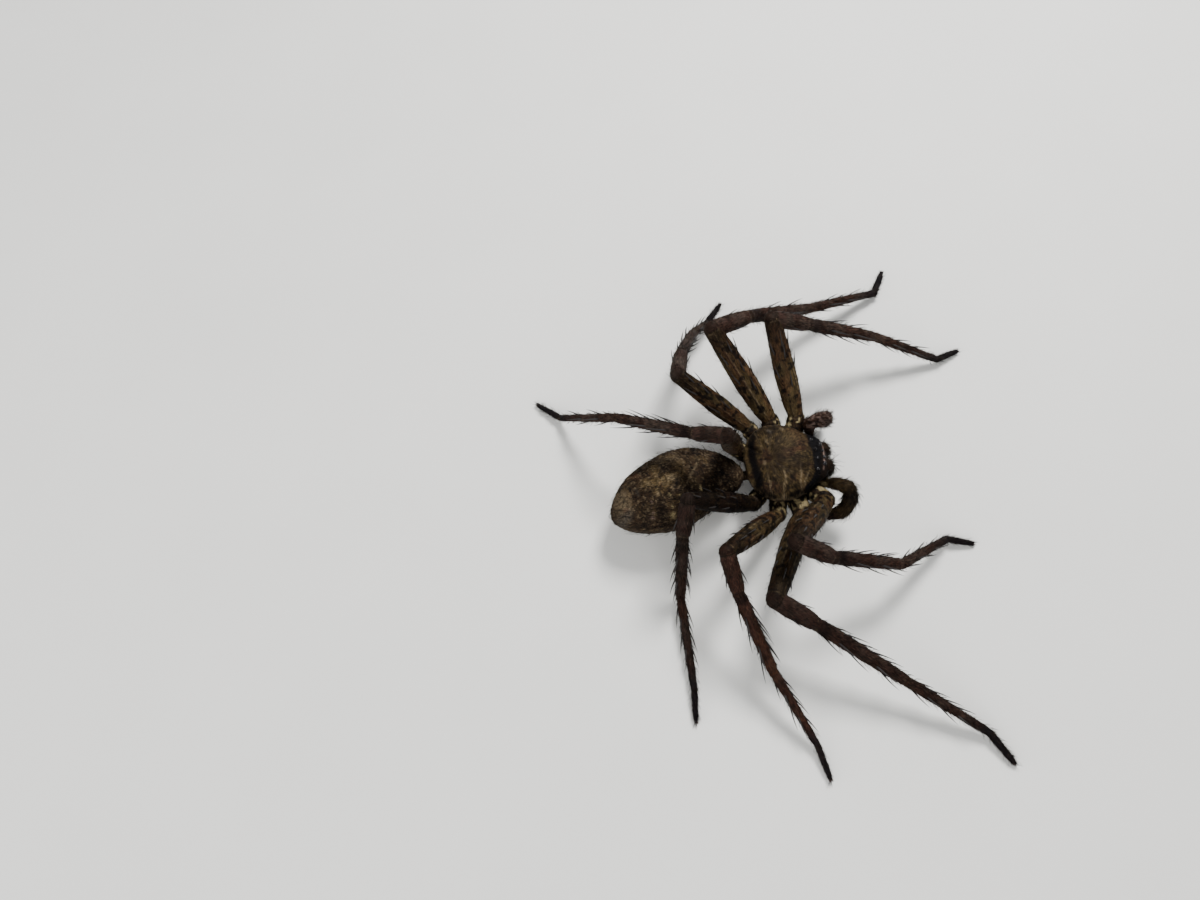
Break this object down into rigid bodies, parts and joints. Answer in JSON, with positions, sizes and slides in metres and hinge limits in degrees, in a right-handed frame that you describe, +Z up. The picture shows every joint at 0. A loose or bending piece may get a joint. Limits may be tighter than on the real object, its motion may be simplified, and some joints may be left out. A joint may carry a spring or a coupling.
{
  "type": "huntsman spider",
  "caption": "Still, life-size model of a female huntsman spider standing with its long legs spread and its knees raised.",
  "frame": {"origin": "middle of the part's box, at the level of the feet", "axes": "+Z up, the head points to -Y and the spider's left side is towards +X"},
  "size_m": [0.0568, 0.0494, 0.0141],
  "materials": {
    "carapace": "olive brown cuticle with fine radial streaks, a dark rear band and a pale margin, under short flat hair",
    "sternum": "brown underside plate with short hair",
    "abdomen": "mottled ochre, brown and black skin under short flat hair",
    "spinnerets": "dark brown, short haired",
    "chelicera": "near black jaws with pale and dark bristles",
    "palp": "brown feelers with bristles and a dark tip",
    "coxa": "yellowish hips mottled with black",
    "femur": "olive brown with dark streaks and blotches",
    "patella": "brown knees",
    "tibia": "reddish brown with dark bands",
    "metatarsus": "purplish brown",
    "tarsus": "grey black feet with dense pads of hair",
    "eye": "glossy black eyes",
    "fang": "glossy dark brown fangs and claws",
    "spine": "smooth near black leg spines",
    "hair": "fine brown and buff hair"
  },
  "bodies": {
    "root": {"carapace": "carapace", "sternum": "sternum", "abdomen": "abdomen", "spinnerets": "spinnerets", "chelicera_left": "chelicera", "chelicera_right": "chelicera", "palp_left": "palp", "palp_right": "palp", "leg_left_1_coxa": "coxa", "leg_left_1_femur": "femur", "leg_left_1_patella": "patella", "leg_left_1_tibia": "tibia", "leg_left_1_metatarsus": "metatarsus", "leg_left_1_tarsus": "tarsus", "leg_left_2_coxa": "coxa", "leg_left_2_femur": "femur", "leg_left_2_patella": "patella", "leg_left_2_tibia": "tibia", "leg_left_2_metatarsus": "metatarsus", "leg_left_2_tarsus": "tarsus", "leg_left_3_coxa": "coxa", "leg_left_3_femur": "femur", "leg_left_3_patella": "patella", "leg_left_3_tibia": "tibia", "leg_left_3_metatarsus": "metatarsus", "leg_left_3_tarsus": "tarsus", "leg_left_4_coxa": "coxa", "leg_left_4_femur": "femur", "leg_left_4_patella": "patella", "leg_left_4_tibia": "tibia", "leg_left_4_metatarsus": "metatarsus", "leg_left_4_tarsus": "tarsus", "leg_right_1_coxa": "coxa", "leg_right_1_femur": "femur", "leg_right_1_patella": "patella", "leg_right_1_tibia": "tibia", "leg_right_1_metatarsus": "metatarsus", "leg_right_1_tarsus": "tarsus", "leg_right_2_coxa": "coxa", "leg_right_2_femur": "femur", "leg_right_2_patella": "patella", "leg_right_2_tibia": "tibia", "leg_right_2_metatarsus": "metatarsus", "leg_right_2_tarsus": "tarsus", "leg_right_3_coxa": "coxa", "leg_right_3_femur": "femur", "leg_right_3_patella": "patella", "leg_right_3_tibia": "tibia", "leg_right_3_metatarsus": "metatarsus", "leg_right_3_tarsus": "tarsus", "leg_right_4_coxa": "coxa", "leg_right_4_femur": "femur", "leg_right_4_patella": "patella", "leg_right_4_tibia": "tibia", "leg_right_4_metatarsus": "metatarsus", "leg_right_4_tarsus": "tarsus"}
  },
  "joints": []
}
